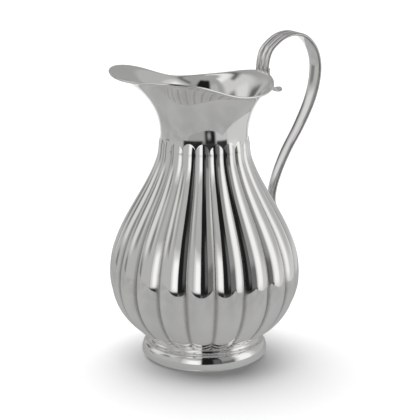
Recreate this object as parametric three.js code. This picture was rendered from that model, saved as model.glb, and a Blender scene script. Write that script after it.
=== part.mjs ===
// A silver water pitcher: a lobed bowl on a moulded foot, a plain neck that flares into a wide
// mouth with a pouring lip, and a tall reeded strap handle.
// Millimetres, +Z up. The pitcher stands on Z = 0, the lip points to -X and the handle to +X.
import * as THREE from "three";

// ---------------------------------------------------------------- driving dimensions

const sheet = 1; // thickness of the raised silver
const clearance = 0.3; // between two pieces that are soldered together

const bowlRadius = 67.5; // over the lobes, at the girth
const girthHeight = 60; // where the bowl is widest
const throatRadius = 30.8; // where the bowl ends and the neck begins
const throatHeight = 162;
const shoulderFullness = 1.08; // above 1 the shoulder stays wide for longer

const lobeCount = 20;
const lobeRise = 2.8; // crown of a lobe over the creases beside it, at the girth
const lobeEndDrop = 2; // the lobes' rounded ends lie this far under the throat
const lobeRunOut = 14; // height over which a crease grows to its full depth

const footHeight = 15.7; // table to the seat of the bowl
const footJointRadius = 40.3; // bowl over the lobes, where it leaves the foot
const footSpread = 4.4; // moulding, out over the bowl's edge
const seatWidth = 3.5; // ring of the foot that the bowl rests on
const collarHeight = 4.2; // collar over the moulding
const mouldingBulge = 3.5; // round side of the moulding, out over the stand ring
const mouldingWidest = 3.6; // height of the moulding's widest line
const standRingHeight = 1.2;
const standRingWidth = 3.4;
const beadRadius = 0.7; // bead at the top of the collar
const collarInset = 1.6; // middle of the bead, inside the bowl's edge
const coveInset = 2.9; // foot of the collar's cove, inside the moulding
const coveEdge = 0.3; // thin edge at the foot of the cove

const lipReach = 68; // tip of the pouring lip, from the axis
const lipRise = 46.3; // tip of the lip over the throat
const mouthSide = 42.8; // half the width of the mouth
const mouthSideRise = 33.6;
const mouthBack = 49.4; // back of the mouth, under the handle
const mouthBackRise = 38.3;
const flarePower = 1.5; // above 1 the neck keeps straighter before it flares
const rimWireRadius = 0.8;

const handleRise = 25.1; // middle of the strap at the top of its loop, over the back of the mouth
const handleReach = 96.6; // middle of the strap where it stands farthest out
const strapWidth = 14.2;
const strapWidthLow = 8;
const strapFullShare = 0.26; // share of its length that keeps its full width
const strapThickness = 2.8;
const strapFootLift = 0.9; // the strap's square end over the rim wire
const strapLanding = 6; // the strap's lower end lies this far along the bowl
const linerThickness = 1.4; // plain inner half of the strap
const linerCrown = 0.9; // the liner's middle over its edges
const reedHeight = 0.9;
const padThickness = 1.2;
const padLength = 20;
const padOverhang = 2.5; // pad under the strap's lower end
const padWidth = 8.4;
const handleFootHeight = 96; // lower end of the strap on the bowl
const tailWidth = 11; // at its tip
const tailThickness = 1.8;
const tailRound = 0.84; // share of its length where its round end begins
const tailOverlap = 3.2; // strap and tail side by side, over the rim

// How finely the round pieces are divided.
const stepsPerLobe = 4;
const bowlRows = 16;
const bowlRowSpread = 1.35; // above 1 the rows lie closer together at the foot
const neckSteps = 54;
const neckRows = 10;
const footSteps = 48;
const strapSteps = 42;

// ---------------------------------------------------------------- materials

function silver(color, roughness) {
  return new THREE.MeshStandardMaterial({ color, metalness: 1, roughness });
}
const polished = silver(0xc9cac9, 0.08);
const burnished = silver(0xc2c3c1, 0.12);
const satin = silver(0xb4b5b3, 0.25);

// ---------------------------------------------------------------- builders

const lerp = THREE.MathUtils.lerp;
const clamp = THREE.MathUtils.clamp;

// A closed body over a grid of points. grid[i][j] runs round the body with i, and round its wall
// with j. Where a row of the wall lies on the axis, its points are one and the same.
function roundBody(grid) {
  const across = grid[0].length;
  const positions = grid.flat().flatMap((p) => [p.x, p.y, p.z]);
  const index = [];
  grid.forEach((_, i) => {
    const here = i * across;
    const next = ((i + 1) % grid.length) * across;
    for (let j = 0; j < across; j += 1) {
      const k = (j + 1) % across;
      index.push(here + j, next + j, next + k, here + j, next + k, here + k);
    }
  });
  return fromTriangles(positions, index);
}

// A closed bar over sections. Each section is an upper and a lower row of as many points, which
// face each other, so that the two ends close with a ladder of faces.
function bar(sections) {
  const loops = sections.map(({ upper, lower }) => [...upper, ...[...lower].reverse()]);
  const count = loops[0].length;
  const positions = loops.flat().flatMap((p) => [p.x, p.y, p.z]);
  const index = [];
  for (let s = 0; s + 1 < loops.length; s += 1) {
    for (let j = 0; j < count; j += 1) {
      const k = (j + 1) % count;
      const here = s * count;
      const next = here + count;
      index.push(here + j, here + k, next + k, here + j, next + k, next + j);
    }
  }
  const last = (loops.length - 1) * count;
  for (let j = 0; j + 1 < count / 2; j += 1) {
    const a = j;
    const b = j + 1;
    const c = count - 2 - j;
    const d = count - 1 - j;
    index.push(a, c, b, a, d, c);
    index.push(last + a, last + b, last + c, last + a, last + c, last + d);
  }
  return fromTriangles(positions, index);
}

// Makes the geometry and turns its faces outwards.
function fromTriangles(positions, index) {
  const point = (n) => new THREE.Vector3().fromArray(positions, 3 * n);
  let volume = 0;
  for (let t = 0; t < index.length; t += 3) {
    volume += point(index[t]).dot(point(index[t + 1]).cross(point(index[t + 2])));
  }
  if (volume < 0) index.reverse();
  const geometry = new THREE.BufferGeometry();
  geometry.setAttribute("position", new THREE.Float32BufferAttribute(positions, 3));
  geometry.setIndex(index);
  geometry.computeVertexNormals();
  return geometry;
}

function piece(name, geometry, material) {
  const mesh = new THREE.Mesh(geometry, material);
  mesh.name = name;
  return mesh;
}

// Unit normals of an open curve of Vector2 points, to the right of its direction.
function sideNormals(points) {
  return points.map((_, n) => {
    const ahead = points[Math.min(n + 1, points.length - 1)];
    const along = ahead.clone().sub(points[Math.max(n - 1, 0)]).normalize();
    return new THREE.Vector2(along.y, -along.x);
  });
}

// ---------------------------------------------------------------- bowl

// Outline of the bowl over the crowns of its lobes: an ellipse under the girth, and a bell
// curve from the girth up to the throat.
function bowlOutline(z) {
  if (z <= girthHeight) {
    const jointDrop = girthHeight - footHeight - clearance;
    const jointShare = footJointRadius / bowlRadius;
    const depth = jointDrop / Math.sqrt(1 - jointShare * jointShare);
    return bowlRadius * Math.sqrt(1 - ((girthHeight - z) / depth) ** 2);
  }
  const rise = (z - girthHeight) / (throatHeight - girthHeight);
  const bell = (1 + Math.cos(Math.PI * rise ** shoulderFullness)) / 2;
  return throatRadius + (bowlRadius - throatRadius) * bell;
}

// Depth of the creases at a height. They run out to nothing at the lobes' rounded ends.
function creaseDepth(z) {
  const lobeTop = throatHeight - lobeEndDrop;
  const grown = clamp((lobeTop - z) / lobeRunOut, 0, 1);
  return lobeRise * (bowlOutline(z) / bowlRadius) * Math.sin((Math.PI / 2) * grown);
}

// Height of the surface over the creases, as a share of their depth. across runs from -1 to 1
// over one lobe. A lobe is a parabola between two sharp creases.
function lobeShape(turn) {
  const pitch = (2 * Math.PI) / lobeCount;
  const across = (2 * (turn - Math.round(turn / pitch) * pitch)) / pitch;
  return 1 - across * across;
}

// Radius of the bowl's outer face. One lobe is centred on the handle, and one on the lip.
function bowlRadiusAt(turn, z) {
  return bowlOutline(z) - creaseDepth(z) * (1 - lobeShape(turn));
}

function makeBowl() {
  const seat = footHeight + clearance;
  const top = throatHeight - clearance / 2;
  const rows = [];
  for (let n = 0; n <= bowlRows; n += 1) {
    rows.push(lerp(seat, top, (n / bowlRows) ** bowlRowSpread));
  }
  const normals = sideNormals(rows.map((z) => new THREE.Vector2(bowlOutline(z), z)));
  const grid = [];
  const steps = lobeCount * stepsPerLobe;
  for (let i = 0; i < steps; i += 1) {
    const turn = (i / steps) * 2 * Math.PI;
    const at = (radius, z) =>
      new THREE.Vector3(radius * Math.cos(turn), radius * Math.sin(turn), z);
    const outer = rows.map((z) => at(bowlRadiusAt(turn, z), z));
    const inner = rows
      .map((z, n) => ({ z, n }))
      .filter(({ n }) => n > 0)
      .map(({ z, n }) => {
        const inward = n === bowlRows ? new THREE.Vector2(1, 0) : normals[n];
        const height = Math.max(z - sheet * inward.y, seat + sheet);
        return at(bowlRadiusAt(turn, z) - sheet * inward.x, height);
      })
      .reverse();
    grid.push([at(0, seat), ...outer, ...inner, at(0, seat + sheet)]);
  }
  return piece("bowl", poleBody(grid), polished);
}

// As roundBody, for a wall whose first and last points lie on the axis.
function poleBody(grid) {
  const across = grid[0].length - 2;
  const positions = grid.flatMap((row) => row.slice(1, -1)).flatMap((p) => [p.x, p.y, p.z]);
  const start = grid.length * across;
  const end = start + 1;
  positions.push(...grid[0][0].toArray(), ...grid[0][across + 1].toArray());
  const index = [];
  grid.forEach((_, i) => {
    const here = i * across;
    const next = ((i + 1) % grid.length) * across;
    for (let j = 0; j + 1 < across; j += 1) {
      index.push(here + j, next + j, next + j + 1, here + j, next + j + 1, here + j + 1);
    }
    index.push(start, next, here, end, here + across - 1, next + across - 1);
  });
  return fromTriangles(positions, index);
}

// ---------------------------------------------------------------- neck and mouth

const lipHeight = throatHeight + lipRise;
const mouthSideHeight = throatHeight + mouthSideRise;
const mouthBackHeight = throatHeight + mouthBackRise;

// The rim, seen every 30 degrees from the lip to the back: how far it reaches from the axis, and
// how high it stands. Between its tip and the low sides, the lip has two soft shoulders.
const rimStations = [
  { reach: lipReach, height: lipHeight },
  { reach: lerp(lipReach, mouthSide, 0.14), height: lipHeight + 1.2 },
  { reach: lerp(lipReach, mouthSide, 0.69), height: lerp(lipHeight, mouthSideHeight, 0.33) },
  { reach: mouthSide, height: mouthSideHeight },
  { reach: lerp(mouthSide, mouthBack, 0.35), height: mouthSideHeight - 1.5 },
  { reach: lerp(mouthSide, mouthBack, 0.8), height: lerp(mouthSideHeight, mouthBackHeight, 0.3) },
  { reach: mouthBack, height: mouthBackHeight },
];

// Amounts of the cosines that carry a smooth, even curve through equally spaced stations.
function cosines(values) {
  const spans = values.length - 1;
  const half = (n) => (n === 0 || n === spans ? 0.5 : 1);
  return values.map((_, m) => {
    const sum = values.reduce(
      (total, value, k) => total + half(k) * value * Math.cos((m * k * Math.PI) / spans),
      0,
    );
    return (2 / spans) * half(m) * sum;
  });
}
const reachCosines = cosines(rimStations.map((station) => station.reach));
const heightCosines = cosines(rimStations.map((station) => station.height));
const alongCosines = (amounts, fromLip) =>
  amounts.reduce((total, amount, m) => total + amount * Math.cos(m * fromLip), 0);

// The middle of the rim wire, at a turn about the axis. The lip is at half a turn, on -X.
function rimAt(turn) {
  const fromLip = turn - Math.PI;
  return {
    reach: alongCosines(reachCosines, fromLip),
    height: alongCosines(heightCosines, fromLip),
  };
}

// Outer face of the neck. rise runs from 0 at the throat to 1 at the edge of the lip.
function neckPoint(turn, rise) {
  const rim = rimAt(turn);
  const edge = rim.reach - rimWireRadius - clearance;
  const swing = (rise * Math.PI) / 2;
  const low = throatHeight + clearance / 2;
  const radius = lerp(throatRadius, edge, 1 - Math.cos(swing) ** flarePower);
  const height = lerp(low, rim.height - sheet / 2, Math.sin(swing));
  return new THREE.Vector3(radius * Math.cos(turn), radius * Math.sin(turn), height);
}

function neckNormal(turn, rise) {
  const small = 0.002;
  const lift = clamp(rise, small, 1 - 4 * small);
  const up = neckPoint(turn, lift + small).sub(neckPoint(turn, lift - small));
  const round = neckPoint(turn + small, lift).sub(neckPoint(turn - small, lift));
  return round.cross(up).normalize();
}

function makeNeck() {
  const grid = [];
  for (let i = 0; i < neckSteps; i += 1) {
    const turn = (i / neckSteps) * 2 * Math.PI;
    const rises = Array.from({ length: neckRows }, (_, n) => n / (neckRows - 1));
    const outer = rises.map((rise) => neckPoint(turn, rise));
    const inner = rises.map((rise, n) => {
      const normal = rise === 0 ? neckNormal(turn, 0).setZ(0).normalize() : neckNormal(turn, rise);
      return outer[n].clone().addScaledVector(normal, -sheet);
    });
    grid.push([...outer, ...inner.reverse()]);
  }
  return piece("neck", roundBody(grid), polished);
}

function makeRimWire() {
  const sides = 6;
  const grid = [];
  for (let i = 0; i < neckSteps; i += 1) {
    const turn = (i / neckSteps) * 2 * Math.PI;
    const rim = rimAt(turn);
    grid.push(
      Array.from({ length: sides }, (_, j) => {
        const angle = (j / sides) * 2 * Math.PI;
        const radius = rim.reach + rimWireRadius * Math.cos(angle);
        const height = rim.height + rimWireRadius * Math.sin(angle);
        return new THREE.Vector3(radius * Math.cos(turn), radius * Math.sin(turn), height);
      }),
    );
  }
  return piece("rim_wire", roundBody(grid), burnished);
}

// ---------------------------------------------------------------- foot

// A ring turned about Z. The profile is a list of [radius, height] corners, which runs up the
// bore and down the outside.
function ring(name, profile, material) {
  const corners = [...profile, profile[0]].reverse();
  const points = corners.map(([radius, z]) => new THREE.Vector2(radius, z));
  const geometry = new THREE.LatheGeometry(points, footSteps);
  geometry.rotateX(Math.PI / 2);
  return piece(name, geometry, material);
}

// Points of an arc in a profile, by its middle, radii and angles in degrees.
function arc([radius, z], wide, tall, from, to, steps) {
  return Array.from({ length: steps + 1 }, (_, n) => {
    const angle = THREE.MathUtils.degToRad(lerp(from, to, n / steps));
    return [radius + wide * Math.cos(angle), z + tall * Math.sin(angle)];
  });
}

const footRadius = footJointRadius + footSpread;
const footBore = footJointRadius - seatWidth;
const standRingRadius = footRadius - mouldingBulge;
const mouldingTop = footHeight - collarHeight;
const collarFoot = mouldingTop + clearance;
const mouldingFoot = standRingHeight + clearance;
const collarRadius = footJointRadius - collarInset;

function makeFootCollar() {
  const beadHeight = footHeight - beadRadius;
  const coveHeight = footHeight - 2 * beadRadius - collarFoot;
  const coveRadius = footRadius - coveInset;
  const bead = arc([collarRadius, beadHeight], beadRadius, beadRadius, 90, -60, 4);
  const cove = arc([coveRadius, collarFoot + coveHeight], coveRadius - collarRadius,
    coveHeight - coveEdge, 180, 270, 3);
  return ring(
    "foot_collar",
    [[footBore, collarFoot], [footBore, footHeight], ...bead, ...cove, [coveRadius, collarFoot]],
    polished,
  );
}

// The moulding is a formed sheet: a flat top, then a round side. It is open towards the axis.
function makeFootMoulding() {
  const over = mouldingTop - mouldingWidest;
  const under = mouldingWidest - mouldingFoot;
  const outer = [standRingRadius, mouldingWidest];
  const inner = [standRingRadius - sheet, mouldingWidest];
  const outside = [
    ...arc(outer, mouldingBulge, over, 80, 0, 5),
    ...arc(outer, mouldingBulge, under, 0, -90, 4).slice(1),
  ];
  const inside = [
    ...arc(inner, mouldingBulge, under - sheet, -80, 0, 3),
    ...arc(inner, mouldingBulge, over - sheet, 0, 80, 4).slice(1),
  ];
  return ring(
    "foot_moulding",
    [
      [footBore, mouldingTop - sheet],
      [footBore, mouldingTop],
      ...outside,
      [standRingRadius - sheet, mouldingFoot],
      ...inside,
    ],
    polished,
  );
}

function makeStandRing() {
  const edge = standRingHeight / 2;
  const round = arc([standRingRadius - edge, edge], edge, edge, 90, -90, 3);
  const bore = standRingRadius - standRingWidth;
  return ring("stand_ring", [[bore, 0], [bore, standRingHeight], ...round], burnished);
}

// ---------------------------------------------------------------- handle

const inPlane = (x, z) => new THREE.Vector3(x, 0, z);

// A point at a height on the bowl, on the handle's side, that stands proud of the lobe.
function bowlFace(z, proud, turn = 0) {
  const small = 0.5;
  const slope = (bowlOutline(z + small) - bowlOutline(z - small)) / (2 * small);
  const out = new THREE.Vector3(1, 0, -slope).normalize();
  const radius = bowlRadiusAt(turn, z);
  const up = new THREE.Vector3(0, 0, 1);
  return new THREE.Vector3(radius, 0, z)
    .addScaledVector(out, proud)
    .applyAxisAngle(up, turn);
}

const handleTop = mouthBackHeight + handleRise;
const handleDrop = handleTop - handleFootHeight;
const strapOverBowl = 3 * clearance + padThickness + strapThickness / 2;

// The upper bend, from the rim to the top of the loop: shares of the way out from the mouth to
// the handle's reach, and of the handle's rise.
const upperBend = [[0.03, 0.386], [0.085, 0.622], [0.184, 0.793], [0.347, 0.956], [0.542, 1]];

// The way down: shares of the way out from the wall to the handle's reach, and of the drop to
// the strap's lower end.
const lowerBend = [
  [0.809, 0.022], [0.933, 0.087], [0.995, 0.178], [0.986, 0.283], [0.921, 0.393],
  [0.774, 0.532], [0.582, 0.658], [0.367, 0.784], [0.194, 0.876],
];

// The strap's middle line, in the plane Y = 0: up from the rim, over, down, and along the bowl.
const strapFoot = mouthBackHeight + rimWireRadius + clearance + strapFootLift;
const strapPath = new THREE.CatmullRomCurve3([
  inPlane(mouthBack, strapFoot),
  ...upperBend.map(([out, up]) =>
    inPlane(lerp(mouthBack, handleReach, out), mouthBackHeight + up * handleRise),
  ),
  ...lowerBend.map(([out, down]) => {
    const z = handleTop - down * handleDrop;
    return inPlane(lerp(bowlOutline(Math.min(z, throatHeight)), handleReach, out), z);
  }),
  bowlFace(handleFootHeight + strapLanding, strapOverBowl),
  bowlFace(handleFootHeight, strapOverBowl),
]);

// Points across the strap: the edges of its reeds, and their crowns.
const reedEdges = [-1, -0.4, 0.4, 1];
const strapColumns = [-1, -0.7, -0.4, 0, 0.4, 0.7, 1];

// Height of the reeds over their grooves, at a place across the strap.
function reed(across) {
  const n = reedEdges.findIndex((edge) => across <= edge);
  if (n <= 0) return 0;
  const middle = (reedEdges[n - 1] + reedEdges[n]) / 2;
  const half = (reedEdges[n] - reedEdges[n - 1]) / 2;
  return reedHeight * (1 - ((across - middle) / half) ** 2);
}

// Half of the strap's width: it narrows on its way down, and its lower end is round.
function strapHalfWidth(share) {
  const narrowing = clamp((share - strapFullShare) / (1 - strapFullShare), 0, 1);
  const half = lerp(strapWidth, strapWidthLow, narrowing) / 2;
  const left = (1 - share) * strapPath.getLength();
  const round = clamp(1 - left / half, 0, 0.95);
  return half * Math.sqrt(1 - round * round);
}

// Sections of a bar along the strap. low and high give its faces over the strap's middle line.
function strapSections(columns, low, high) {
  const sections = [];
  for (let n = 0; n <= strapSteps; n += 1) {
    const share = n / strapSteps;
    const middle = strapPath.getPointAt(share);
    const along = strapPath.getTangentAt(share);
    const out = new THREE.Vector3(-along.z, 0, along.x);
    const half = strapHalfWidth(share);
    const at = (across, over) => {
      const place = middle.clone().addScaledVector(out, over);
      return place.setY(across * half);
    };
    sections.push({
      upper: columns.map((across) => at(across, high(across))),
      lower: columns.map((across) => at(across, low(across))),
    });
  }
  return sections;
}

const linerTop = linerThickness - strapThickness / 2;

function makeStrap() {
  const base = strapThickness / 2 - reedHeight;
  const low = () => linerTop + clearance;
  const high = (across) => base + reed(across);
  return piece("handle_strap", bar(strapSections(strapColumns, low, high)), polished);
}

function makeLiner() {
  const low = (across) => linerCrown * across * across - strapThickness / 2;
  const high = () => linerTop;
  return piece("handle_liner", bar(strapSections([-1, -0.5, 0, 0.5, 1], low, high)), polished);
}

// The tail leads on from the strap behind the rim, and curls away from the neck.
function makeTail() {
  const front = mouthBack + Math.max(rimWireRadius, strapThickness / 2) + clearance;
  const start = front + tailThickness / 2;
  const path = new THREE.CatmullRomCurve3([
    inPlane(start, mouthBackHeight + tailOverlap),
    inPlane(start, mouthBackHeight),
    inPlane(start + 1.6, mouthBackHeight - 5.6),
    inPlane(start + 4.6, mouthBackHeight - 11),
    inPlane(start + 8.6, mouthBackHeight - 14.6),
    inPlane(start + 13.8, mouthBackHeight - 13),
  ]);
  const steps = 14;
  const columns = [-1, -0.5, 0, 0.5, 1];
  const sections = [];
  for (let n = 0; n <= steps; n += 1) {
    const share = n / steps;
    const middle = path.getPointAt(share);
    const along = path.getTangentAt(share);
    const out = new THREE.Vector3(-along.z, 0, along.x);
    const half = (lerp(strapWidth - 2, tailWidth, share) / 2)
      * Math.sqrt(1 - clamp((share - tailRound) / (1.01 - tailRound), 0, 1) ** 2);
    const thick = (tailThickness / 2) * lerp(1, 0.6, share);
    const row = (side) =>
      columns.map((across) =>
        middle
          .clone()
          .addScaledVector(out, side * thick * (1 - 0.5 * across * across))
          .setY(across * half),
      );
    sections.push({ upper: row(1), lower: row(-1) });
  }
  return piece("handle_tail", bar(sections), polished);
}

// The pad follows the lobe that it is soldered to, and the strap's lower end lies on it.
function makePad() {
  const steps = 10;
  const columns = [-1, -0.5, 0, 0.5, 1];
  const middle = handleFootHeight + padLength / 2 - padOverhang;
  const sections = [];
  for (let n = 0; n <= steps; n += 1) {
    const place = lerp(-0.97, 0.97, n / steps);
    const z = middle + (place * padLength) / 2;
    const half = (padWidth / 2) * Math.sqrt(1 - place * place);
    const row = (proud) =>
      columns.map((across) => bowlFace(z, proud, (across * half) / bowlOutline(z)));
    sections.push({ upper: row(clearance + padThickness), lower: row(clearance) });
  }
  return piece("handle_pad", bar(sections), satin);
}

// ---------------------------------------------------------------- assembly

const pitcher = new THREE.Group();
pitcher.add(
  makeBowl(),
  makeNeck(),
  makeRimWire(),
  makeFootCollar(),
  makeFootMoulding(),
  makeStandRing(),
  makeStrap(),
  makeLiner(),
  makeTail(),
  makePad(),
);

// The part's origin is under the middle of its whole length, on the table.
const extent = new THREE.Box3().setFromObject(pitcher);
pitcher.position.x = -(extent.min.x + extent.max.x) / 2;

export default pitcher;
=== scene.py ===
"""A silver water pitcher for the 3D view: a lobed bowl, a plain flared neck with a pouring lip, a
moulded foot and a reeded strap handle. Each operator makes one piece or a group of like pieces
round the loaded frame, and the last one makes the studio that the pitcher stands in."""

from math import cos, pi, radians, sin, sqrt

import bmesh
import bpy
import numpy as np
from bpy.props import FloatProperty, FloatVectorProperty, IntProperty, PointerProperty
from bpy.types import Operator, Panel, PropertyGroup
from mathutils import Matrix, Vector


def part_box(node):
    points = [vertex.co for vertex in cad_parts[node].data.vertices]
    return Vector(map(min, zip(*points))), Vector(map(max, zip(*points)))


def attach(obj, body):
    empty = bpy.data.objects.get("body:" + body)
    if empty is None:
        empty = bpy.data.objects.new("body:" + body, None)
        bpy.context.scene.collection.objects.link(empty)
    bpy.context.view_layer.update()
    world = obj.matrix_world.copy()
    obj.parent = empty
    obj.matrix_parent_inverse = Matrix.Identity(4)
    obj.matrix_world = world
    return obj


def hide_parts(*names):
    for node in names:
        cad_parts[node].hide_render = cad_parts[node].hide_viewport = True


bl_info = {
    "name": "Silver Water Pitcher",
    "version": (1, 0, 0),
    "blender": (4, 5, 0),
    "location": "3D View > Sidebar > Pitcher",
    "description": "Builds a lobed silver water pitcher round its frame, in a small studio",
    "category": "Add Mesh",
}

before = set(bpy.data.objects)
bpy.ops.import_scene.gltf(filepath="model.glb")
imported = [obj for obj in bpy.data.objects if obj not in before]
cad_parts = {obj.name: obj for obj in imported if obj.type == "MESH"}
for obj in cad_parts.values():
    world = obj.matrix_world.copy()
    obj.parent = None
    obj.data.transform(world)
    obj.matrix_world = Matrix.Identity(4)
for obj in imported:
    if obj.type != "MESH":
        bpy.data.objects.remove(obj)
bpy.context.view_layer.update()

MM = 0.001
COLLAR_LOW, COLLAR_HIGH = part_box("foot_collar")
BOWL_LOW, BOWL_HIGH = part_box("bowl")
NECK_LOW, NECK_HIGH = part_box("neck")
MOULDING_LOW, MOULDING_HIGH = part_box("foot_moulding")
STAND_LOW, STAND_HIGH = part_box("stand_ring")
STRAP_LOW, STRAP_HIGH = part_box("handle_strap")
AXIS_X = (COLLAR_LOW.x + COLLAR_HIGH.x) / 2

# How finely the round pieces are divided.
RIM_STEPS = 360
RING_STEPS = 288
STRAP_STEPS = 260


# ---------------------------------------------------------------- settings


def length(name, text, default):
    """A size that a user can change, in metres."""
    return FloatProperty(name=name, description=text, default=default, unit="LENGTH", precision=5)


def share(name, text, default):
    return FloatProperty(name=name, description=text, default=default, min=0.0)


def colour(name, text, default):
    return FloatVectorProperty(
        name=name, description=text, default=default, subtype="COLOR", min=0.0, max=1.0
    )


class PitcherSizes(PropertyGroup):
    """Sizes of the pitcher's pieces."""

    sheet: length("Sheet", "Thickness of the raised silver", 1.0 * MM)
    bowl_radius: length("Bowl radius", "Over the lobes, at the girth", BOWL_HIGH.y)
    girth_height: length("Girth height", "Where the bowl is widest", 60 * MM)
    seat_height: length("Seat height", "Where the bowl leaves the foot", COLLAR_HIGH.z)
    seat_radius: length("Seat radius", "Bowl over the lobes, on the foot", 40.3 * MM)
    throat_radius: length("Throat radius", "Where the bowl ends and the neck begins", 30.8 * MM)
    throat_height: length("Throat height", "Over the table", (BOWL_HIGH.z + NECK_LOW.z) / 2)
    shoulder: share("Shoulder", "Above 1 the shoulder stays wide for longer", 1.08)
    lobe_count: IntProperty(name="Lobes", description="Lobes round the bowl", default=20, min=3)
    lobe_rise: length("Lobe rise", "Crown of a lobe over its creases", 2.8 * MM)
    tongue_end: length("Tongue end", "Rounded ends of the lobes, under the throat", 0.8 * MM)
    tongue_length: length("Tongue tip", "Length of a lobe's rounded end", 7.0 * MM)
    crease_run: length("Crease run", "Height over which the creases grow deep", 17 * MM)
    lip_reach: length("Lip reach", "Tip of the pouring lip, from the axis", 68 * MM)
    lip_rise: length("Lip rise", "Tip of the lip, over the throat", 46.3 * MM)
    mouth_side: length("Mouth side", "Half the width of the mouth", 42.8 * MM)
    mouth_side_rise: length("Side rise", "Side of the mouth, over the throat", 33.6 * MM)
    mouth_back: length("Mouth back", "Back of the mouth, from the axis", 49.4 * MM)
    mouth_back_rise: length("Back rise", "Back of the mouth, over the throat", 38.3 * MM)
    flare: share("Flare", "Above 1 the neck keeps straighter before it flares", 1.5)
    wire_radius: length("Wire radius", "Round wire along the rim", 0.8 * MM)
    foot_bore: length("Foot bore", "Inside of the foot", 36.8 * MM)
    foot_radius: length("Foot radius", "Over the moulding", MOULDING_HIGH.y)
    moulding_widest: length("Moulding widest", "Height of the foot's widest line", 3.6 * MM)
    stand_radius: length("Stand radius", "Ring that the foot stands on", STAND_HIGH.y)
    stand_width: length("Stand width", "Width of that ring", 3.4 * MM)
    bead_radius: length("Bead radius", "Bead at the top of the collar", 0.7 * MM)
    handle_rise: length("Handle rise", "Top of the loop over the mouth's back", 25.1 * MM)
    handle_reach: length("Handle reach", "Where the loop stands farthest out", 96.6 * MM)
    handle_foot: length("Handle foot", "Height of the strap's lower end", 96 * MM)
    strap_width: length("Strap width", "At the rim and over the loop", STRAP_HIGH.y - STRAP_LOW.y)
    strap_width_low: length("Lower width", "At the strap's lower end", 8.0 * MM)
    strap_thickness: length("Strap thickness", "Over the middle reed", 2.8 * MM)
    liner_thickness: length("Liner thickness", "Plain inner half of the strap", 1.4 * MM)
    reed_height: length("Reed height", "Reeds over their grooves", 0.9 * MM)


class PitcherFinish(PropertyGroup):
    """Colours and polish of the silver."""

    polished: colour("Polished silver", "Colour of the mirror polish", (0.93, 0.925, 0.915))
    burnished: colour("Burnished silver", "Colour of the burnished wire", (0.94, 0.935, 0.925))
    satin: colour("Satin silver", "Colour where polish doesn't reach", (0.86, 0.85, 0.835))
    # Dark tone in the bowl's creases and along the strap's grooves and edges: partly tarnished
    # silver, partly painted shade.
    tarnish_and_shade_colour: colour("Tarnish", "Colour that stays in the creases", (0.26, 0.25, 0.235))
    polish_roughness: share("Polish", "Roughness of the mirror polish", 0.055)
    wire_roughness: share("Burnish", "Roughness of the burnished wire", 0.12)
    satin_roughness: share("Satin", "Roughness where polish doesn't reach", 0.24)


class PitcherStudio(PropertyGroup):
    """Camera and floor."""

    camera_distance: length("Camera distance", "From the pitcher's axis, along the floor", 1.300)
    camera_height: length("Camera height", "Over the table", 0.476)
    camera_turn: FloatProperty(
        name="Camera turn", description="Round the axis, from the front", default=radians(34),
        subtype="ANGLE",
    )
    camera_pitch: FloatProperty(
        name="Camera pitch", description="Downwards", default=radians(15.87), subtype="ANGLE"
    )
    lens: FloatProperty(name="Lens", description="Focal length", default=163.7, unit="CAMERA")
    floor_colour: colour("Floor", "Colour of the floor", (0.92, 0.92, 0.92))


# ---------------------------------------------------------------- meshes


def add_piece(name, points, faces, material, node, crisp=None, tarnish_and_shade_mask=None):
    """A smooth closed mesh that stands for one node of the frame. crisp is the angle above which
    an edge stays sharp, and the last argument tells the finish how far each point is tarnished and
    darkened with painted shade."""
    mesh = bpy.data.meshes.new(name)
    points = np.asarray(points, float).reshape(-1, 3)
    mesh.from_pydata(points.tolist(), [], faces)
    mesh.polygons.foreach_set("use_smooth", [True] * len(mesh.polygons))
    if is_inside_out(mesh):
        mesh.flip_normals()
    if crisp is not None:
        mesh.set_sharp_from_angle(angle=crisp)
    layer = mesh.attributes.new("tarnish_and_shade_mask", "FLOAT", "POINT")
    layer.data.foreach_set("value", np.zeros(len(points)) if tarnish_and_shade_mask is None else tarnish_and_shade_mask)
    mesh.materials.append(material)
    mesh.update()
    piece = bpy.data.objects.new(name, mesh)
    bpy.context.scene.collection.objects.link(piece)
    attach(piece, "root")
    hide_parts(node)
    return piece


def is_inside_out(mesh):
    shape = bmesh.new()
    shape.from_mesh(mesh)
    inside_out = shape.calc_volume(signed=True) < 0
    shape.free()
    return inside_out


def skin(rows, columns, loop_rows, loop_columns):
    """Faces over a grid of points, which may close on itself either way."""
    faces = []
    for i in range(rows if loop_rows else rows - 1):
        here, there = i * columns, (i + 1) % rows * columns
        for j in range(columns if loop_columns else columns - 1):
            k = (j + 1) % columns
            faces.append((here + j, there + j, there + k, here + k))
    return faces


def turned(turns, radius, height):
    """Points at turns about the pitcher's axis. The arrays broadcast against each other."""
    turns, radius, height = np.broadcast_arrays(turns, radius, height)
    x = AXIS_X + radius * np.cos(turns)
    return np.stack([x, radius * np.sin(turns), height], axis=-1)


def ease(value):
    """A smooth step from 0 to 1."""
    value = np.clip(value, 0, 1)
    return value * value * (3 - 2 * value)


def dome(value):
    """A quarter circle from 0 to 1, steep at 0 and level at 1."""
    value = np.clip(value, 0, 1)
    return np.sqrt(1 - (1 - value) ** 2)


def arc(middle, wide, tall, start, end, steps):
    """Points of an arc in a profile. The angles are in degrees."""
    angles = np.radians(np.linspace(start, end, steps + 1))
    return [(middle[0] + wide * cos(a), middle[1] + tall * sin(a)) for a in angles]


def profile_normals(line):
    """Unit normals of an open profile, to the right of its direction."""
    along = np.gradient(line, axis=0)
    along /= np.linalg.norm(along, axis=1, keepdims=True)
    return np.stack([along[:, 1], -along[:, 0]], axis=1)


# ---------------------------------------------------------------- bowl


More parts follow.
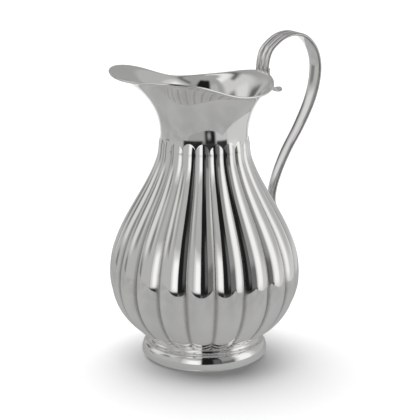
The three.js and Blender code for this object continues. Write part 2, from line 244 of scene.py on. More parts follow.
def bowl_outline(sizes, z):
    """Radius over the crowns of the lobes: an ellipse under the girth, and a bell over it."""
    joint_share = sizes.seat_radius / sizes.bowl_radius
    depth = (sizes.girth_height - sizes.seat_height) / sqrt(1 - joint_share**2)
    under = sizes.bowl_radius * np.sqrt(np.clip(1 - ((sizes.girth_height - z) / depth) ** 2, 0, 1))
    rise = np.clip((z - sizes.girth_height) / (sizes.throat_height - sizes.girth_height), 0, 1)
    bell = (1 + np.cos(pi * rise**sizes.shoulder)) / 2
    over = sizes.throat_radius + (sizes.bowl_radius - sizes.throat_radius) * bell
    return np.where(z <= sizes.girth_height, under, over)


def lobed_radius(sizes, across, z):
    """Radius of the bowl's face, and how far it is tarnished and darkened with painted shade by
    the creases. across runs from -1 to 1 over one lobe. Near the throat the lobes end in round
    tongues, which stand proud of the neck."""
    outline = bowl_outline(sizes, z)
    depth = sizes.lobe_rise * outline / sizes.bowl_radius
    under_throat = sizes.throat_height - z
    ground = outline - depth * ease(under_throat / sizes.crease_run)
    tip = dome((under_throat - sizes.tongue_end) / sizes.tongue_length)
    rise = (tip + ease((under_throat - sizes.tongue_end) / sizes.tongue_length)) / 2
    narrowest = 0.02  # share of a lobe's width that is left at its very tip
    bulge = 1 - (across / np.maximum(tip, narrowest)) ** 2
    rounding = 0.05
    lobe = (bulge + np.sqrt(bulge**2 + rounding**2)) / 2

    # A narrow dark line where the crease is tarnished, and a fainter wide band of painted shade
    # beside it. Both weaken where creases are shallow, and end before the lobes do.
    edge = 1 - np.abs(across)
    narrow_line, wide_line = 3.6, 1.5
    tarnish_and_shade_mask = 0.8 * ease(1 - narrow_line * edge) + 0.2 * ease(1 - wide_line * edge)
    tarnish_and_shade_mask = tarnish_and_shade_mask * (0.3 + 0.45 * depth / sizes.lobe_rise) * ease(2 * tip - 1)
    return ground + depth * rise * np.where(tip > 0, lobe, 0), tarnish_and_shade_mask


def make_bowl(sizes, material):
    steps = 11  # over half a lobe
    half = np.linspace(0, 1, steps + 1)
    half = 0.4 * half + 0.6 * np.sin(half * pi / 2)  # closer together at the creases
    across = np.concatenate([-half[:0:-1], half[:-1]])
    pitch = 2 * pi / sizes.lobe_count
    turns = (np.arange(sizes.lobe_count)[:, None] * pitch + across[None, :] * pitch / 2).ravel()
    across = np.tile(across, sizes.lobe_count)
    tip_foot = sizes.throat_height - sizes.tongue_end - 2 * sizes.tongue_length
    low = np.linspace(0, 1, 45) ** 1.25 * (sizes.girth_height - sizes.seat_height)
    rows = np.concatenate([
        sizes.seat_height + low,
        np.linspace(sizes.girth_height, tip_foot, 70)[1:],
        np.linspace(tip_foot, sizes.throat_height, 46)[1:],
    ])
    radius, tarnish_and_shade_mask = lobed_radius(sizes, across[:, None], rows[None, :])
    outer = turned(turns[:, None], radius, rows[None, :])

    inner_rows = rows[1::2]
    line = np.stack([bowl_outline(sizes, inner_rows), inner_rows], axis=1)
    normal = profile_normals(line)
    normal[-1] = (1, 0)
    inner_radius, _ = lobed_radius(sizes, across[:, None], inner_rows[None, :])
    inner_height = np.maximum(
        inner_rows - sizes.sheet * normal[:, 1], sizes.seat_height + sizes.sheet
    )
    inner = turned(turns[:, None], inner_radius - sizes.sheet * normal[None, :, 0], inner_height)
    inner = inner[:, ::-1]

    wall = np.concatenate([outer, inner], axis=1)
    count, columns = wall.shape[:2]
    faces = skin(count, columns, True, False)
    under, floor = count * columns, count * columns + 1
    for i in range(count):
        here, there = i * columns, (i + 1) % count * columns
        faces.append((under, there, here))
        faces.append((floor, here + columns - 1, there + columns - 1))
    poles = turned(0, 0, np.array([sizes.seat_height, sizes.seat_height + sizes.sheet]))
    points = np.concatenate([wall.reshape(-1, 3), poles])
    shade = np.concatenate([tarnish_and_shade_mask, np.zeros(inner.shape[:2])], axis=1).ravel()
    shade = np.concatenate([shade, [0, 0]])
    return add_piece(
        "silver_bowl", points, faces, material, "bowl", radians(62), shade
    )


# ---------------------------------------------------------------- neck and mouth


def rim_curve(sizes, turns):
    """Reach and height of the rim wire's middle. The lip is at half a turn."""
    def mix(one, two, part):
        return one + (two - one) * part

    lip, side, back = sizes.lip_reach, sizes.mouth_side, sizes.mouth_back
    base = sizes.throat_height
    lip_z = base + sizes.lip_rise
    side_z = base + sizes.mouth_side_rise
    back_z = base + sizes.mouth_back_rise
    stations = np.array([
        (lip, lip_z),
        (mix(lip, side, 0.14), lip_z + 1.2 * MM),
        (mix(lip, side, 0.69), mix(lip_z, side_z, 0.33)),
        (side, side_z),
        (mix(side, back, 0.35), side_z - 1.5 * MM),
        (mix(side, back, 0.8), mix(side_z, back_z, 0.3)),
        (back, back_z),
    ])
    spans = len(stations) - 1
    ends = np.ones(spans + 1)
    ends[[0, -1]] = 0.5
    order = np.arange(spans + 1)
    waves = np.cos(np.outer(order, order) * pi / spans)
    amounts = 2 / spans * ends[:, None] * (waves @ (ends[:, None] * stations))
    from_lip = np.asarray(turns) - pi
    curve = np.cos(from_lip[..., None] * order) @ amounts
    return curve[..., 0], curve[..., 1]


def neck_point(sizes, turns, rise):
    """Outer face of the neck. rise runs from 0 at the throat to 1 at the rim."""
    reach, rim_height = rim_curve(sizes, turns)
    swing = rise * pi / 2
    under_wire = 0.75  # share of the wire's radius by which the edge stays inside its middle
    edge = reach - under_wire * sizes.wire_radius
    flare = 1 - np.cos(swing) ** sizes.flare
    radius = sizes.throat_radius + (edge - sizes.throat_radius) * flare
    full_rise = rim_height - sizes.sheet / 2 - sizes.throat_height
    return turned(turns, radius, sizes.throat_height + full_rise * np.sin(swing))


def make_neck(sizes, material):
    turns = np.linspace(0, 2 * pi, RIM_STEPS, endpoint=False)[:, None]
    rise = np.linspace(0, 1, 72)[None, :]
    outer = neck_point(sizes, turns, rise)
    small = 0.001
    held = np.clip(rise, small, 1 - 4 * small)
    up = neck_point(sizes, turns, held + small) - neck_point(sizes, turns, held - small)
    along = neck_point(sizes, turns + small, held) - neck_point(sizes, turns - small, held)
    normal = np.cross(along, up)
    normal[:, 0, 2] = 0
    normal /= np.linalg.norm(normal, axis=2, keepdims=True)
    inner = (outer - sizes.sheet * normal)[:, ::-1]
    wall = np.concatenate([outer, inner], axis=1)
    faces = skin(*wall.shape[:2], True, True)
    return add_piece(
        "silver_neck", wall, faces, material, "neck", radians(50)
    )


def make_rim_wire(sizes, material):
    turns = np.linspace(0, 2 * pi, RIM_STEPS, endpoint=False)[:, None]
    reach, height = rim_curve(sizes, turns)
    angle = np.linspace(0, 2 * pi, 14, endpoint=False)[None, :]
    ring = turned(
        turns, reach + sizes.wire_radius * np.cos(angle), height + sizes.wire_radius * np.sin(angle)
    )
    faces = skin(*ring.shape[:2], True, True)
    return add_piece(
        "silver_rim_wire", ring, faces, material, "rim_wire"
    )


# ---------------------------------------------------------------- foot

COLLAR_INSET = 1.6 * MM  # from the bowl's seat in to the middle of the collar's bead
COLLAR_EDGE = 0.35 * MM  # upright edge under the collar's cove


def make_ring(name, profile, material, node, crisp=radians(35)):
    """A ring turned from a closed profile of (radius, height) points."""
    turns = np.linspace(0, 2 * pi, RING_STEPS, endpoint=False)[:, None]
    profile = np.array(profile)
    points = turned(turns, profile[None, :, 0], profile[None, :, 1])
    faces = skin(*points.shape[:2], True, True)
    return add_piece(name, points, faces, material, node, crisp)


def make_collar(sizes, material):
    low, high = MOULDING_HIGH.z, sizes.seat_height
    bead = sizes.bead_radius
    top_radius = sizes.seat_radius - COLLAR_INSET
    cove_radius = COLLAR_HIGH.y
    cove_height = high - 2 * bead - low
    cove_centre = (cove_radius, low + cove_height)
    profile = [
        (sizes.foot_bore, low), (sizes.foot_bore, high),
        *arc((top_radius, high - bead), bead, bead, 90, -62, 10),
        *arc(cove_centre, cove_radius - top_radius, cove_height - COLLAR_EDGE, 186, 270, 14),
        (cove_radius, low),
    ]
    return make_ring(
        "silver_collar", profile, material, "foot_collar"
    )


def make_moulding(sizes, material):
    low, high = STAND_HIGH.z, MOULDING_HIGH.z
    widest = sizes.moulding_widest
    over, under = high - widest, widest - low
    wide = sizes.foot_radius - sizes.stand_radius
    sheet = sizes.sheet
    outer = (sizes.stand_radius, widest)
    inner = (sizes.stand_radius - sheet, widest)
    outside = arc(outer, wide, over, 84, 0, 20) + arc(outer, wide, under, 0, -90, 12)[1:]
    inside = (
        arc(inner, wide, under - sheet, -80, 0, 8)
        + arc(inner, wide, over - sheet, 0, 80, 8)[1:]
    )
    profile = [
        (sizes.foot_bore, high - sheet), (sizes.foot_bore, high),
        *outside, (sizes.stand_radius - sheet, low), *inside,
    ]
    return make_ring(
        "silver_foot_moulding", profile, material, "foot_moulding"
    )


def make_stand_ring(sizes, material):
    low, high = STAND_LOW.z, STAND_HIGH.z
    edge = (high - low) / 2
    bore = sizes.stand_radius - sizes.stand_width
    round_side = arc((sizes.stand_radius - edge, low + edge), edge, edge, 90, -90, 10)
    profile = [(bore, low), (bore, high), *round_side]
    return make_ring(
        "silver_stand_ring", profile, material, "stand_ring"
    )


# ---------------------------------------------------------------- handle

# The upper bend, from the rim to the top of the loop: shares of the way out from the mouth to
# the handle's reach, and of the handle's rise.
UPPER_BEND = [(0.03, 0.386), (0.085, 0.622), (0.184, 0.793), (0.347, 0.956), (0.542, 1)]

# The way down: shares of the way out from the wall to the handle's reach, and of the drop.
LOWER_BEND = [
    (0.809, 0.022), (0.933, 0.087), (0.995, 0.178), (0.986, 0.283), (0.921, 0.393),
    (0.774, 0.532), (0.582, 0.658), (0.367, 0.784), (0.194, 0.876),
]
REED_EDGES = (-1, -0.4, 0.4, 1)  # where reeds end, in shares of half the strap's width
JOINT_GAP = 0.3 * MM
PAD_THICKNESS = 1.2 * MM
LOW_END = 6 * MM  # the strap's last stretch, which follows the bowl

# The tail's path from the rim, in millimetres: outwards and upwards.
TAIL_PATH = [(0, 3.2), (0, 0), (1.6, -5.6), (4.6, -11), (8.6, -14.6), (13.8, -13)]
TAIL_THICKNESS = 1.8 * MM
TAIL_TIP_WIDTH = 11 * MM


def bowl_face(sizes, z, proud, turns=0.0):
    """A point on the bowl that stands proud of the lobe on the handle's side."""
    small = 0.5 * MM
    slope = (bowl_outline(sizes, z + small) - bowl_outline(sizes, z - small)) / (2 * small)
    out = 1 / np.sqrt(1 + slope**2)
    pitch = 2 * pi / sizes.lobe_count
    across = turns / (pitch / 2)
    radius, _ = lobed_radius(sizes, across, np.asarray(z, float))
    return radius + proud * out, z - proud * slope * out


def smooth_line(points, count):
    """Evenly spaced points and directions along a smooth curve through the given points."""
    points = np.array(points, float)
    steps = 24
    ends = np.concatenate([[2 * points[0] - points[1]], points, [2 * points[-1] - points[-2]]])
    line = []
    for a, b, c, d in zip(ends, ends[1:], ends[2:], ends[3:]):
        knots = np.cumsum([0, *(max(np.linalg.norm(q - p), 1e-9) ** 0.5
                                for p, q in ((a, b), (b, c), (c, d)))])
        t0, t1, t2, t3 = knots
        for t in np.linspace(t1, t2, steps, endpoint=False):
            a1 = (t1 - t) / (t1 - t0) * a + (t - t0) / (t1 - t0) * b
            a2 = (t2 - t) / (t2 - t1) * b + (t - t1) / (t2 - t1) * c
            a3 = (t3 - t) / (t3 - t2) * c + (t - t2) / (t3 - t2) * d
            b1 = (t2 - t) / (t2 - t0) * a1 + (t - t0) / (t2 - t0) * a2
            b2 = (t3 - t) / (t3 - t1) * a2 + (t - t1) / (t3 - t1) * a3
            line.append((t2 - t) / (t2 - t1) * b1 + (t - t1) / (t2 - t1) * b2)
    line.append(points[-1])
    line = np.array(line)
    reached = np.concatenate([[0], np.cumsum(np.linalg.norm(np.diff(line, axis=0), axis=1))])
    even = np.linspace(0, reached[-1], count)
    place = np.stack([np.interp(even, reached, line[:, n]) for n in range(2)], axis=1)
    along = np.gradient(place, axis=0)
    for _ in range(3):
        along[1:-1] = (along[:-2] + 2 * along[1:-1] + along[2:]) / 4
    along /= np.linalg.norm(along, axis=1, keepdims=True)
    return place, along, reached[-1]


def strap_line(sizes, count):
    """The strap's middle line in the plane of symmetry: up from the rim, over, and down."""
    base = sizes.throat_height + sizes.mouth_back_rise
    top = base + sizes.handle_rise
    drop = top - sizes.handle_foot
    back, reach = sizes.mouth_back, sizes.handle_reach
    points = [(back, base + 0.6 * sizes.wire_radius)]
    for out, up in UPPER_BEND:
        points.append((back + (reach - back) * out, base + sizes.handle_rise * up))
    for out, down in LOWER_BEND:
        z = top - down * drop
        wall = float(bowl_outline(sizes, np.asarray(min(z, sizes.throat_height))))
        points.append((wall + (reach - wall) * out, z))
    over_bowl = 3 * JOINT_GAP + PAD_THICKNESS + sizes.strap_thickness / 2
    for z in (sizes.handle_foot + LOW_END, sizes.handle_foot):
        points.append([float(value) for value in bowl_face(sizes, z, over_bowl)])
    return smooth_line(points, count)


def bar(place, along, half_width, columns, low, high):
    """Points of a bar: at each place its upper face across, and its lower face back."""
    out = np.stack([-along[:, 1], along[:, 0]], axis=1)

    def face(over):
        radius = place[:, None, 0] + out[:, None, 0] * over
        height = place[:, None, 1] + out[:, None, 1] * over
        side = columns[None, :] * half_width[:, None]
        radius, side, height = np.broadcast_arrays(radius, side, height)
        return np.stack([AXIS_X + radius, side, height], axis=-1)

    return np.concatenate([face(high), face(low)[:, ::-1]], axis=1)


def bar_faces(rows, columns):
    """Faces of a bar, with its two ends closed."""
    last = (rows - 1) * columns
    ends = [tuple(range(columns)), tuple(range(last + columns - 1, last - 1, -1))]
    return skin(rows, columns, False, True) + ends


def strap_half_width(sizes, share_along, total):
    full = 0.26  # share of its length that keeps its full width
    narrow = np.clip((share_along - full) / (1 - full), 0, 1)
    half = (sizes.strap_width + (sizes.strap_width_low - sizes.strap_width) * narrow) / 2
    left = (1 - share_along) * total
    return half * np.sqrt(1 - np.clip(1 - left / half, 0, 0.97) ** 2)


def reeds(columns):
    """Height of the reeds over their grooves, as a share, across the strap."""
    height = np.zeros_like(columns)
    for start, end in zip(REED_EDGES, REED_EDGES[1:]):
        place = (columns - (start + end) / 2) / ((end - start) / 2)
        height = np.maximum(height, dome(1 - np.abs(place)) * (np.abs(place) <= 1))
    return height


def make_strap(sizes, material):
    """The outer half of the handle. Its reeds rise from a plain start and sink at its low end."""
    plain_start, start_run, end_run = 1.2 * MM, 2.4 * MM, 2.0 * MM
    left_at_end = 0.35
    place, along, total = strap_line(sizes, STRAP_STEPS)
    share_along = np.linspace(0, 1, STRAP_STEPS)
    half = strap_half_width(sizes, share_along, total)
    columns = np.concatenate([
        (start + end) / 2 - (end - start) / 2 * np.cos(np.linspace(0, pi, 13)[:-1])
        for start, end in zip(REED_EDGES, REED_EDGES[1:])
    ] + [[1.0]])
    groove = sizes.strap_thickness / 2 - sizes.reed_height
    tips = dome((share_along * total - plain_start) / start_run)
    ends = dome((1 - share_along) * total / end_run)
    swell = tips * (left_at_end + (1 - left_at_end) * ends)
    height = reeds(columns)[None, :] * swell[:, None] * sizes.reed_height
    high = groove + height
    seam = sizes.liner_thickness - sizes.strap_thickness / 2
    low = np.full_like(high, seam)
    points = bar(place, along, half, columns, low, high)
    rows, across = points.shape[:2]
    # Darker in the grooves and along the edges: partly tarnished silver, partly a painted dark
    # reflection.
    shade = np.concatenate([ease(1.7 * (1 - reeds(columns)) - 0.25), np.zeros(len(columns))])
    shade = np.tile(shade, rows)
    return add_piece(
        "silver_strap", points, bar_faces(rows, across), material,
        "handle_strap", radians(60), shade,
    )


def make_liner(sizes, material):
    """The plain inner half of the handle: thickest along its middle, with rounded edges."""
    thinner, rounding = 0.9 * MM, 0.3 * MM  # what its edges lose
    place, along, total = strap_line(sizes, STRAP_STEPS)
    half = strap_half_width(sizes, np.linspace(0, 1, STRAP_STEPS), total)
    columns = np.sin(np.linspace(-pi / 2, pi / 2, 15))
    seam = sizes.liner_thickness - sizes.strap_thickness / 2
    thinning = thinner * (0.75 * columns**2 + 0.25 * columns**8)
    round_edge = rounding * (1 - dome((1 - np.abs(columns)) / 0.1))
    low = (thinning - sizes.strap_thickness / 2 + round_edge)[None, :]
    high = np.full((1, len(columns)), seam)
    points = bar(place, along, half, columns, low, high)
    rows, across = points.shape[:2]
    # Darker towards both edges of the liner: partly tarnished silver, partly a painted dark
    # reflection.
    edges = ease(np.abs(columns) ** 6 * 1.5 - 0.1)
    shade = np.tile(np.concatenate([edges, edges]), rows)
    return add_piece(
        "silver_strap_liner", points, bar_faces(rows, across), material,
        "handle_liner", radians(45), shade,
    )


def make_tail(sizes, material):
    """The curl that leads on from the strap behind the rim."""
    base = sizes.throat_height + sizes.mouth_back_rise
    front = sizes.mouth_back + max(sizes.wire_radius, sizes.strap_thickness / 2)
    start = front + TAIL_THICKNESS / 2
    path = [(start + out * MM, base + up * MM) for out, up in TAIL_PATH]
    place, along, _ = smooth_line(path, 70)
    share_along = np.linspace(0, 1, len(place))
    wide = sizes.strap_width - 2 * MM
    half = (wide + (TAIL_TIP_WIDTH - wide) * share_along) / 2
    round_from, round_over = 0.84, 0.165  # the rounded tip, as shares of the tail's length
    half = half * np.sqrt(1 - np.clip((share_along - round_from) / round_over, 0, 1) ** 2)
    columns = np.sin(np.linspace(-pi / 2, pi / 2, 17))
    thick = TAIL_THICKNESS / 2 * (1 - 0.4 * share_along)  # it thins towards its tip
    crown = thick[:, None] * (0.12 + 0.88 * np.sqrt(1 - 0.98 * columns[None, :] ** 2))
    points = bar(place, along, half, columns, -crown, crown)
    return add_piece(
        "silver_tail", points, bar_faces(*points.shape[:2]), material,
        "handle_tail", radians(60),
    )


def make_pad(sizes, material):
    """The leaf that the strap is soldered to, which follows the lobe under it."""
    pad_length, pad_width, overhang = 20 * MM, 8.4 * MM, 2.5 * MM
    middle = sizes.handle_foot + pad_length / 2 - overhang
    across = np.sin(np.linspace(-pi / 2, pi / 2, 13))
    place = 0.985 * np.sin(np.linspace(-pi / 2, pi / 2, 34))
    z = middle + place * pad_length / 2
    half = pad_width / 2 * np.sqrt(1 - place**2)
    turns = across[None, :] * (half / bowl_outline(sizes, z))[:, None]
    height = np.broadcast_to(z[:, None], turns.shape)

    def face(proud):
        radius, lifted = bowl_face(sizes, height, proud, turns)
        return turned(turns, radius, lifted)

    edge_height, underside = 0.1 * MM, 0.05 * MM  # over the lobe
    crown = (PAD_THICKNESS + JOINT_GAP) * np.sqrt(1 - 0.9 * across**2)
    top = edge_height + crown[None, :]
    points = np.concatenate([face(top), face(underside)[:, ::-1]], axis=1)
    return add_piece(
        "silver_pad", points, bar_faces(*points.shape[:2]), material,
        "handle_pad", radians(60),
    )


# ---------------------------------------------------------------- finishes

# How dark the tarnished and painted-shade tone gets at its deepest.
DEEPEST_TARNISH_AND_SHADE = 0.8


class NodeBench:
    """Adds nodes to one tree, each with its settings and what goes into it."""

    def __init__(self, tree):
        self.tree = tree
        tree.nodes.clear()

    def add(self, kind, inputs=None, **settings):
        node = self.tree.nodes.new(kind)
        for name, value in settings.items():
            setattr(node, name, value)
        for name, value in (inputs or {}).items():
            socket = node.inputs[name]
            if isinstance(value, bpy.types.NodeSocket):
                self.tree.links.new(value, socket)
            else:
                socket.default_value = value
        return node

    def math(self, operation, *values):
        node = self.add("ShaderNodeMath", dict(enumerate(values)), operation=operation)
        return node.outputs[0]

    def ramp(self, value, start, end, low=0.0, high=1.0):
        """A smooth change from low to high as the value goes from start to end."""
        node = self.add(
            "ShaderNodeMapRange",
            {"Value": value, "From Min": start, "From Max": end, "To Min": low, "To Max": high},
            interpolation_type="SMOOTHSTEP",
        )
        return node.outputs[0]

    def mix(self, amount, one, two):
        node = self.add("ShaderNodeMix", data_type="RGBA")
        for socket, value in ((0, amount), (6, one), (7, two)):
            if isinstance(value, bpy.types.NodeSocket):
                self.tree.links.new(value, node.inputs[socket])
            else:
                node.inputs[socket].default_value = value
        return node.outputs[2]

    def noise(self, vector, scale, detail=2.0, roughness=0.5):
        node = self.add(
            "ShaderNodeTexNoise",
            {"Vector": vector, "Scale": scale, "Detail": detail, "Roughness": roughness},
        )
        return node.outputs["Fac"]


def make_silver(name, silver_colour, tarnish_and_shade_colour, roughness, hairline):
    """Silver with a slight waviness left by the hammer, fine marks left by polishing, cloudy
    changes in its polish, and a dark tone in its creases and grooves that is partly tarnished
    silver and partly painted shade."""
    material = bpy.data.materials.new(name)
    material.use_nodes = True
    bench = NodeBench(material.node_tree)
    place = bench.add("ShaderNodeTexCoord").outputs["Object"]
    tarnish_and_shade_mask = bench.add("ShaderNodeAttribute", attribute_name="tarnish_and_shade_mask").outputs["Fac"]

    cloud = bench.noise(place, 38.0, 3.0)
    speck = bench.noise(place, 420.0, 2.0)
    marks_place = bench.add(
        "ShaderNodeMapping", {"Vector": place, "Scale": (260.0, 260.0, 2600.0)}
    ).outputs[0]
    marks = bench.noise(marks_place, 1.0, 3.0, 0.65)

    # Darkening from the mask: tarnished creases, plus painted shade in the creases, grooves and
    # along the strap's edges.
    tarnish_and_shade_amount = bench.ramp(tarnish_and_shade_mask, 0.0, 1.0)
    tarnish_and_shade_amount = bench.math("MULTIPLY", tarnish_and_shade_amount, bench.ramp(speck, 0.3, 0.7, 0.85, 1.0))
    tarnish_and_shade_amount = bench.math("MULTIPLY", tarnish_and_shade_amount, DEEPEST_TARNISH_AND_SHADE)
    dull = bench.ramp(cloud, 0.35, 0.75, 0.0, 0.05)
    tone = bench.mix(bench.math("ADD", tarnish_and_shade_amount, dull), (*silver_colour, 1), (*tarnish_and_shade_colour, 1))

    polish = bench.ramp(cloud, 0.3, 0.7, roughness * 0.8, roughness * 1.25)
    polish = bench.math("ADD", polish, bench.ramp(marks, 0.45, 0.75, 0.0, hairline))
    polish = bench.math("ADD", polish, bench.math("MULTIPLY", tarnish_and_shade_amount, 0.25))

    waviness = bench.add(
        "ShaderNodeBump",
        {"Strength": 0.35, "Distance": 0.0003, "Height": bench.noise(place, 55.0, 1.0)},
    ).outputs[0]
    brushed = bench.add(
        "ShaderNodeBump",
        {"Strength": 0.12, "Distance": 0.00001, "Height": marks, "Normal": waviness},
    ).outputs[0]
    shader = bench.add(
        "ShaderNodeBsdfPrincipled",
        {"Base Color": tone, "Metallic": 1.0, "Roughness": polish, "Normal": brushed},
    )
    bench.add("ShaderNodeOutputMaterial", {"Surface": shader.outputs[0]})
    return material


def silvers():
    """The three finishes, made once."""
    finish = bpy.context.scene.pitcher_finish
    recipes = {
        "polished silver": (finish.polished, finish.polish_roughness, 0.03),
        "burnished silver": (finish.burnished, finish.wire_roughness, 0.04),
        "satin silver": (finish.satin, finish.satin_roughness, 0.08),
    }
    for name, (tone, roughness, hairline) in recipes.items():
        if name not in bpy.data.materials:
            make_silver(name, tone, finish.tarnish_and_shade_colour, roughness, hairline)
    return [bpy.data.materials[name] for name in recipes]


# ---------------------------------------------------------------- studio

# The mirrored table: its corners in metres, to the camera's right and away from the camera.
TABLE_CORNERS = ((-0.6, -0.3), (0.332, -0.3), (0.218, 0.35), (-0.6, 0.35))
CLOTH_DARKEST, CLOTH_PALEST = 0.36, 0.42
CLOTH_GLOW = 0.88  # light of its own, as a share of the cloth's paleness

# Soft dark rounds painted on it: right, away, reach, and what they leave of the cloth's paleness.
TABLE_SHADOWS = ((0.0, 0.03, 0.11, 0.8), (0.02, 0.14, 0.14, 0.75))

# Greys of the studio where no card stands, and of its ceiling, which starts and is full at these
# degrees over the horizon.
BACKDROP_LEVEL = 0.36
CEILING_START, CEILING_FULL, CEILING_LEVEL = 72, 84, 0.38
DULL_LEVEL = 0.14  # what lights dull surfaces in place of the cards
SIDE_SHIFT = 0.0136  # of the camera's view, as a share of its width


def make_floor(studio):
    """The pale floor that the camera sees. The silver doesn't mirror it."""
    half = 6.0
    mesh = bpy.data.meshes.new("studio_floor")
    corners = [(-half, -half, 0), (half, -half, 0), (half, half, 0), (-half, half, 0)]
    mesh.from_pydata(corners, [], [(0, 1, 2, 3)])
    material = bpy.data.materials.new("floor paint")
    material.use_nodes = True
    bench = NodeBench(material.node_tree)
    place = bench.add("ShaderNodeTexCoord").outputs["Object"]
    grain = bench.ramp(bench.noise(place, 900.0, 2.0), 0.3, 0.7, 0.6, 0.7)
    shader = bench.add(
        "ShaderNodeBsdfPrincipled",
        {"Base Color": (*studio.floor_colour, 1), "Roughness": grain},
    )
    shader.inputs["Specular IOR Level"].default_value = 0.0
    bench.add("ShaderNodeOutputMaterial", {"Surface": shader.outputs[0]})
    mesh.materials.append(material)
    floor = bpy.data.objects.new("studio_floor", mesh)
    bpy.context.scene.collection.objects.link(floor)
    floor.visible_glossy = False


def make_table(studio):
    """The table top that the silver mirrors. Only mirrored rays see it."""
    turn = -studio.camera_turn

    def on_table(right, away):
        x = AXIS_X + right * cos(turn) - away * sin(turn)
        return x, right * sin(turn) + away * cos(turn), 0.0

    mesh = bpy.data.meshes.new("studio_table")
    mesh.from_pydata([on_table(*corner) for corner in TABLE_CORNERS], [], [(0, 1, 2, 3)])
    material = bpy.data.materials.new("table cloth")
    material.use_nodes = True
    bench = NodeBench(material.node_tree)
    place = bench.add("ShaderNodeTexCoord").outputs["Object"]
    level = bench.ramp(bench.noise(place, 6.0, 2.0), 0.3, 0.7, CLOTH_DARKEST, CLOTH_PALEST)
    for right, away, reach, left in TABLE_SHADOWS:
        centre = on_table(right, away)
        distance = bench.add("ShaderNodeVectorMath", {0: place, 1: centre}, operation="DISTANCE")
        shadow = bench.ramp(distance.outputs["Value"], 0.2 * reach, reach, left, 1.0)
        level = bench.math("MULTIPLY", level, shadow)
    shade = bench.add("ShaderNodeCombineColor", {"Red": level, "Green": level, "Blue": level})
    cloth = bench.add("ShaderNodeBsdfDiffuse", {"Color": shade.outputs[0]})
    strength = bench.math("MULTIPLY", level, CLOTH_GLOW)
    glow = bench.add("ShaderNodeEmission", {"Color": (1, 1, 1, 1), "Strength": strength})
    both = bench.add("ShaderNodeAddShader", {0: cloth.outputs[0], 1: glow.outputs[0]})
    bench.add("ShaderNodeOutputMaterial", {"Surface": both.outputs[0]})
    mesh.materials.append(material)
    table = bpy.data.objects.new("studio_table", mesh)
    bpy.context.scene.collection.objects.link(table)
    table.visible_camera = False
    table.visible_diffuse = False
    table.visible_shadow = False
    table.visible_transmission = False


# What stands round the table, where each card covers those before it: degrees to the right of the
# camera and degrees over the horizon, both as start, end and softness, and how bright it is.
STUDIO_CARDS = [
    ((148, 190, 6), (-60, -4, 6), 0.78),  # pale backdrop, on the right
    ((-190, -152, 6), (-60, -4, 6), 0.78),  # pale backdrop, on the left
    ((-154, -44, 5), (-70, 30, 8), 0.47),  # grey card on the left
    ((-130, -60, 8), (26, 60, 8), 0.62),  # pale wall over it
    ((-120, -104, 4), (-16, 3, 4), 0.22),  # its stand
    ((-142, -124, 5), (6, 22, 5), 0.14),  # posts beside it
    ((-86, -70, 5), (18, 32, 5), 0.22),
    ((-117, -92, 5), (10, 34, 5), 0.72),  # lamp between them
    ((-190, -95, 8), (48, 55, 4), 0.12),  # dark beam over the left side
    ((-190, -60, 8), (58, 72, 5), 0.85),  # lamp over the left side
    ((60, 190, 8), (50, 57, 4), 0.15),  # dark beam over the right side
    ((-42, -6, 3), (26, 60, 6), 0.46),  # top of the left soft box
    ((-42, -6, 2.5), (-10.5, 30, 2), 0.62),  # left soft box
    ((-32, -7, 8), (-9, 24, 5), 1.0),  # its lamp
    ((-56, -4, 4), (-18, -10, 1.5), 0.015),  # dark floor under it
    ((-5, 33, 2), (-14, 52, 4), 0.012),  # dark gap round the camera
    ((2, 32, 5), (-60, -12, 4), 0.012),  # the gap's dark floor
    ((-15, 36, 6), (46, 73, 5), 0.012),  # the dark over it
    ((9, 17, 4), (-29, -20, 4), 0.35),  # lens in the gap
    ((17, 31, 3), (-4, 36, 6), 0.11),  # grey post in the gap
    ((33, 60, 2.5), (12, 52, 6), 0.30),  # grey card on the right
    ((33, 58, 2.5), (-14, 14, 5), 0.15),  # its darker foot
    ((60, 150, 5), (-60, 4, 8), 0.62),  # right soft box
    ((60, 112, 5), (-4, 46, 8), 0.62),
    ((108, 150, 5), (0, 46, 8), 0.46),  # its greyer far side
    ((30, 62, 5), (-60, -14, 4), 0.55),  # pale floor before the grey card
    ((66, 96, 6), (-12, 40, 6), 0.95),  # lamp of the right soft box
    ((33, 62, 3), (-17, -9.5, 1.5), 0.03),  # dark floor under the grey card
]


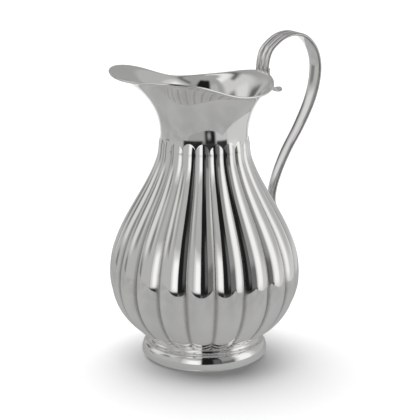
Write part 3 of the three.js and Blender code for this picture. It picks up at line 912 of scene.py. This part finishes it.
def make_world(studio):
    """The studio that the silver mirrors. The camera itself sees only white, and dull surfaces
    such as the floor get an even, dim light from it."""
    world = bpy.data.worlds.new("studio tent")
    bpy.context.scene.world = world
    world.use_nodes = True
    bench = NodeBench(world.node_tree)
    direction = bench.add("ShaderNodeTexCoord").outputs["Generated"]
    turn = bench.add(
        "ShaderNodeVectorRotate", {"Vector": direction, "Angle": studio.camera_turn},
        rotation_type="Z_AXIS",
    ).outputs[0]
    axes = bench.add("ShaderNodeSeparateXYZ", {"Vector": turn}).outputs
    forward = bench.math("MULTIPLY", axes[1], -1.0)
    side = bench.math("MULTIPLY", bench.math("ARCTAN2", axes[0], forward), 180 / pi)
    high = bench.math("MULTIPLY", bench.math("ARCSINE", axes[2]), 180 / pi)

    def zone(value, start, end, soft):
        """1 between start and end, with soft edges."""
        rise = bench.ramp(value, start - soft, start + soft)
        fall = bench.ramp(value, end - soft, end + soft, 1.0, 0.0)
        return bench.math("MULTIPLY", rise, fall)

    def grey(level):
        return (level, level, level, 1)

    tone = grey(BACKDROP_LEVEL)
    for across, upward, level in STUDIO_CARDS:
        mask = bench.math("MULTIPLY", zone(side, *across), zone(high, *upward))
        tone = bench.mix(mask, tone, grey(level))
    ceiling = bench.ramp(high, CEILING_START, CEILING_FULL)
    tone = bench.mix(ceiling, tone, grey(CEILING_LEVEL))
    path = bench.add("ShaderNodeLightPath").outputs
    tone = bench.mix(path["Is Diffuse Ray"], tone, grey(DULL_LEVEL))
    tone = bench.mix(path["Is Camera Ray"], tone, grey(1.0))
    background = bench.add("ShaderNodeBackground", {"Color": tone, "Strength": 1.0})
    bench.add("ShaderNodeOutputWorld", {"Surface": background.outputs[0]})


def make_light():
    """A broad light from above and behind, which gives the floor its soft shadow and lights the
    cloth of the table too. The silver doesn't mirror it."""
    data = bpy.data.lights.new("broad_light", "SUN")
    data.angle = radians(85)
    data.energy = 4.0
    light = bpy.data.objects.new("broad_light", data)
    aim = Vector((-0.12, -0.4, -1.0))
    light.rotation_euler = aim.to_track_quat("-Z", "Y").to_euler()
    light.visible_glossy = False
    bpy.context.scene.collection.objects.link(light)


def make_camera(studio):
    data = bpy.data.cameras.new("studio_camera")
    data.sensor_width = 36.0
    data.lens = studio.lens
    data.shift_x = SIDE_SHIFT
    camera = bpy.data.objects.new("studio_camera", data)
    turn = studio.camera_turn
    camera.location = (
        AXIS_X - studio.camera_distance * sin(turn),
        -studio.camera_distance * cos(turn),
        studio.camera_height,
    )
    camera.rotation_euler = (pi / 2 - studio.camera_pitch, 0, -turn)
    bpy.context.scene.collection.objects.link(camera)
    bpy.context.scene.camera = camera


# ---------------------------------------------------------------- operators


class PITCHER_OT_bowl(Operator):
    """Make the lobed bowl"""

    bl_idname = "pitcher.bowl"
    bl_label = "Lobed Bowl"

    def execute(self, context):
        make_bowl(context.scene.pitcher_sizes, silvers()[0])
        return {"FINISHED"}


class PITCHER_OT_neck(Operator):
    """Make the neck and the wire along its rim"""

    bl_idname = "pitcher.neck"
    bl_label = "Neck and Rim Wire"

    def execute(self, context):
        polished, burnished, _ = silvers()
        make_neck(context.scene.pitcher_sizes, polished)
        make_rim_wire(context.scene.pitcher_sizes, burnished)
        return {"FINISHED"}


class PITCHER_OT_foot(Operator):
    """Make the foot's collar, moulding and stand ring"""

    bl_idname = "pitcher.foot"
    bl_label = "Foot Rings"

    def execute(self, context):
        polished, burnished, _ = silvers()
        sizes = context.scene.pitcher_sizes
        make_collar(sizes, polished)
        make_moulding(sizes, polished)
        make_stand_ring(sizes, burnished)
        return {"FINISHED"}


class PITCHER_OT_handle(Operator):
    """Make the reeded strap, its liner, its tail and the pad under its lower end"""

    bl_idname = "pitcher.handle"
    bl_label = "Strap Handle"

    def execute(self, context):
        polished, _, satin = silvers()
        sizes = context.scene.pitcher_sizes
        make_strap(sizes, polished)
        make_liner(sizes, polished)
        make_tail(sizes, polished)
        make_pad(sizes, satin)
        return {"FINISHED"}


class PITCHER_OT_studio(Operator):
    """Make the floor, the mirrored table, the light and the camera"""

    bl_idname = "pitcher.studio"
    bl_label = "Studio"

    def execute(self, context):
        studio = context.scene.pitcher_studio
        context.scene.view_settings.view_transform = "Standard"
        make_floor(studio)
        make_table(studio)
        make_world(studio)
        make_light()
        make_camera(studio)
        return {"FINISHED"}


OPERATORS = (
    PITCHER_OT_bowl, PITCHER_OT_neck, PITCHER_OT_foot, PITCHER_OT_handle, PITCHER_OT_studio,
)


class PITCHER_PT_pieces(Panel):
    """Lists the pitcher's pieces"""

    bl_idname = "PITCHER_PT_pieces"
    bl_label = "Silver Pitcher"
    bl_space_type = "VIEW_3D"
    bl_region_type = "UI"
    bl_category = "Pitcher"

    def draw(self, context):
        for operator in OPERATORS:
            self.layout.operator(operator.bl_idname)


CLASSES = (PitcherSizes, PitcherFinish, PitcherStudio, *OPERATORS, PITCHER_PT_pieces)


def register():
    for cls in CLASSES:
        bpy.utils.register_class(cls)
    bpy.types.Scene.pitcher_sizes = PointerProperty(type=PitcherSizes)
    bpy.types.Scene.pitcher_finish = PointerProperty(type=PitcherFinish)
    bpy.types.Scene.pitcher_studio = PointerProperty(type=PitcherStudio)


def unregister():
    del bpy.types.Scene.pitcher_studio
    del bpy.types.Scene.pitcher_finish
    del bpy.types.Scene.pitcher_sizes
    for cls in reversed(CLASSES):
        bpy.utils.unregister_class(cls)


def main():
    register()
    bpy.ops.pitcher.bowl()
    bpy.ops.pitcher.neck()
    bpy.ops.pitcher.foot()
    bpy.ops.pitcher.handle()
    bpy.ops.pitcher.studio()


if __name__ == "__main__":
    main()
